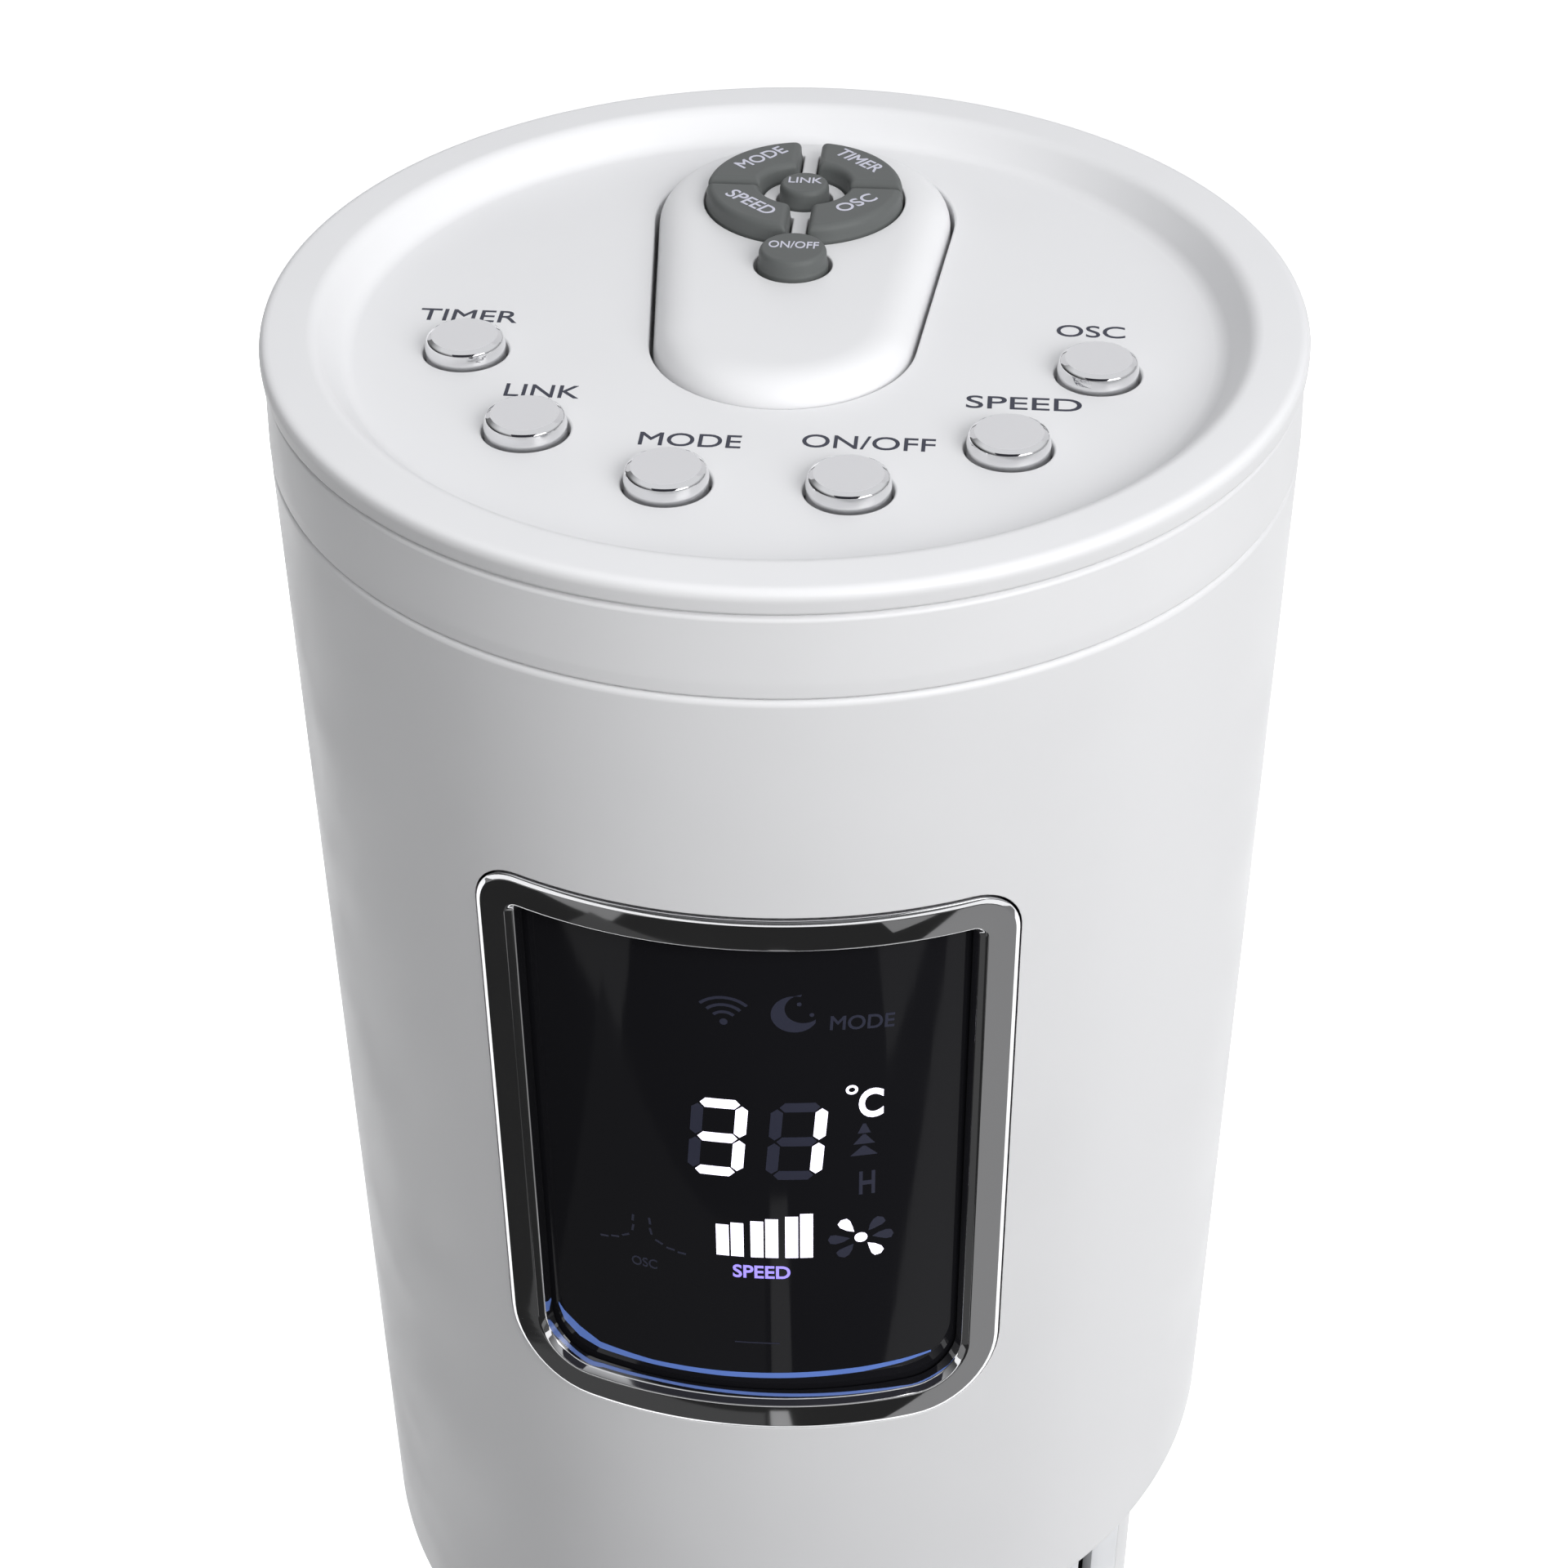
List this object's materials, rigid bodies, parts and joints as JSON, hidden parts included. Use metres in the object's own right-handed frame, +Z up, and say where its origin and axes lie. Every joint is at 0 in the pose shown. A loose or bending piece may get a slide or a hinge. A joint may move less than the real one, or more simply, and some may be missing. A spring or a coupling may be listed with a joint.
{
  "type": "tower fan",
  "caption": "White round tower fan with a sunk control deck, bright push buttons, a lift-out remote, a framed display window, a slotted column and a weighted round base.",
  "frame": {"origin": "on the floor, under the middle of the base, on the swivel axis", "axes": "+Z up along the swivel axis, -Y the front with the display window, +X the fan's left seen from behind it, which is the viewer's right from the front"},
  "size_m": [0.3, 0.3, 1.0018],
  "materials": {
    "white_gloss_plastic": "satin-gloss white",
    "grey_plastic": "matt",
    "silver_plastic": "silver paint, satin",
    "bezel_chrome": "polished",
    "plated_plastic": "bright plated plastic",
    "black_rubber": "matt",
    "key_rubber": "soft matt",
    "steel": "plain",
    "circuit_board": "solder mask",
    "black_plastic": "fine texture",
    "smoked_lens": "polished, near black",
    "natural_nylon": "natural",
    "bronze": "sintered"
  },
  "bodies": {
    "base": {"base_cover": "white_gloss_plastic", "cord_gland": "black_rubber", "base_bottom_plate": "grey_plastic", "rubber_foot_1": "black_rubber", "rubber_foot_2": "black_rubber", "rubber_foot_3": "black_rubber", "rubber_foot_4": "black_rubber", "ballast_ring": "steel", "swivel_ring_gear": "natural_nylon", "swivel_washer": "natural_nylon", "swivel_retainer": "steel"},
    "tower": {"air_tongue": "black_plastic", "button_board": "circuit_board", "column_top_plate": "grey_plastic", "display_board": "circuit_board", "display_lens": "smoked_lens", "display_module": "black_plastic", "fan_motor": "steel", "front_grille": "silver_plastic", "head_front_cover": "white_gloss_plastic", "head_mount_plate": "grey_plastic", "head_rear_cover": "white_gloss_plastic", "ir_receiver": "black_plastic", "lower_shroud": "white_gloss_plastic", "motor_mount_plate": "steel", "oscillation_motor": "steel", "power_board": "circuit_board", "rear_housing": "white_gloss_plastic", "scroll_wall": "black_plastic", "top_bearing": "bronze", "top_cap": "white_gloss_plastic", "turntable": "grey_plastic", "window_bezel": "bezel_chrome"},
    "rotor": {"impeller": "black_plastic", "impeller_coupling": "black_rubber", "impeller_top_pin": "steel", "motor_shaft": "steel"},
    "drive_pinion": {"oscillation_pinion": "natural_nylon"},
    "remote": {"remote_upper_case": "white_gloss_plastic", "remote_lower_case": "white_gloss_plastic", "remote_circuit_board": "circuit_board", "remote_coin_cell": "steel"},
    "battery_door": {"remote_battery_door": "white_gloss_plastic"},
    "timer_button": {"timer_button": "plated_plastic"},
    "link_button": {"link_button": "plated_plastic"},
    "mode_button": {"mode_button": "plated_plastic"},
    "on_off_button": {"on_off_button": "plated_plastic"},
    "speed_button": {"speed_button": "plated_plastic"},
    "osc_button": {"osc_button": "plated_plastic"},
    "remote_mode_key": {"remote_mode_key": "key_rubber"},
    "remote_timer_key": {"remote_timer_key": "key_rubber"},
    "remote_speed_key": {"remote_speed_key": "key_rubber"},
    "remote_osc_key": {"remote_osc_key": "key_rubber"},
    "remote_link_key": {"remote_link_key": "key_rubber"},
    "remote_on_off_key": {"remote_on_off_key": "key_rubber"}
  },
  "joints": [
    {"name": "tower_swivel", "type": "hinge", "parent": "base", "child": "tower", "pos_m": [0, 0, 0.045], "axis": [0, 0, 1], "range_deg": [-40, 40]},
    {"name": "pinion_spin", "type": "hinge", "parent": "tower", "child": "drive_pinion", "pos_m": [0.033, 0, 0.01], "axis": [0, 0, 1], "range_deg": [-190, 190]},
    {"name": "rotor_spin", "type": "hinge", "parent": "tower", "child": "rotor", "pos_m": [0, 0, 0.44], "axis": [0, 0, 1], "continuous": true},
    {"name": "timer_button_press", "type": "slide", "parent": "tower", "child": "timer_button", "axis": [0, 0, -1], "range_m": [0, 0.0012], "stiffness_N_per_m": 400, "springref_m": -0.0012},
    {"name": "link_button_press", "type": "slide", "parent": "tower", "child": "link_button", "axis": [0, 0, -1], "range_m": [0, 0.0012], "stiffness_N_per_m": 400, "springref_m": -0.0012},
    {"name": "mode_button_press", "type": "slide", "parent": "tower", "child": "mode_button", "axis": [0, 0, -1], "range_m": [0, 0.0012], "stiffness_N_per_m": 400, "springref_m": -0.0012},
    {"name": "on_off_button_press", "type": "slide", "parent": "tower", "child": "on_off_button", "axis": [0, 0, -1], "range_m": [0, 0.0012], "stiffness_N_per_m": 400, "springref_m": -0.0012},
    {"name": "speed_button_press", "type": "slide", "parent": "tower", "child": "speed_button", "axis": [0, 0, -1], "range_m": [0, 0.0012], "stiffness_N_per_m": 400, "springref_m": -0.0012},
    {"name": "osc_button_press", "type": "slide", "parent": "tower", "child": "osc_button", "axis": [0, 0, -1], "range_m": [0, 0.0012], "stiffness_N_per_m": 400, "springref_m": -0.0012},
    {"name": "remote_lift", "type": "slide", "parent": "tower", "child": "remote", "axis": [0, 0, 1], "range_m": [0, 0.06]},
    {"name": "battery_door_turn", "type": "hinge", "parent": "remote", "child": "battery_door", "pos_m": [0, -0.001, 0.9861], "axis": [0, 0, -1], "range_deg": [0, 45]},
    {"name": "remote_mode_key_press", "type": "slide", "parent": "remote", "child": "remote_mode_key", "axis": [0, 0, -1], "range_m": [0, 0.0008], "stiffness_N_per_m": 300, "springref_m": -0.001},
    {"name": "remote_timer_key_press", "type": "slide", "parent": "remote", "child": "remote_timer_key", "axis": [0, 0, -1], "range_m": [0, 0.0008], "stiffness_N_per_m": 300, "springref_m": -0.001},
    {"name": "remote_speed_key_press", "type": "slide", "parent": "remote", "child": "remote_speed_key", "axis": [0, 0, -1], "range_m": [0, 0.0008], "stiffness_N_per_m": 300, "springref_m": -0.001},
    {"name": "remote_osc_key_press", "type": "slide", "parent": "remote", "child": "remote_osc_key", "axis": [0, 0, -1], "range_m": [0, 0.0008], "stiffness_N_per_m": 300, "springref_m": -0.001},
    {"name": "remote_link_key_press", "type": "slide", "parent": "remote", "child": "remote_link_key", "axis": [0, 0, -1], "range_m": [0, 0.0008], "stiffness_N_per_m": 300, "springref_m": -0.001},
    {"name": "remote_on_off_key_press", "type": "slide", "parent": "remote", "child": "remote_on_off_key", "axis": [0, 0, -1], "range_m": [0, 0.0008], "stiffness_N_per_m": 300, "springref_m": -0.001}
  ],
  "couplings": [
    {"joint": "pinion_spin", "follows": "tower_swivel", "ratio": -4.6667}
  ]
}
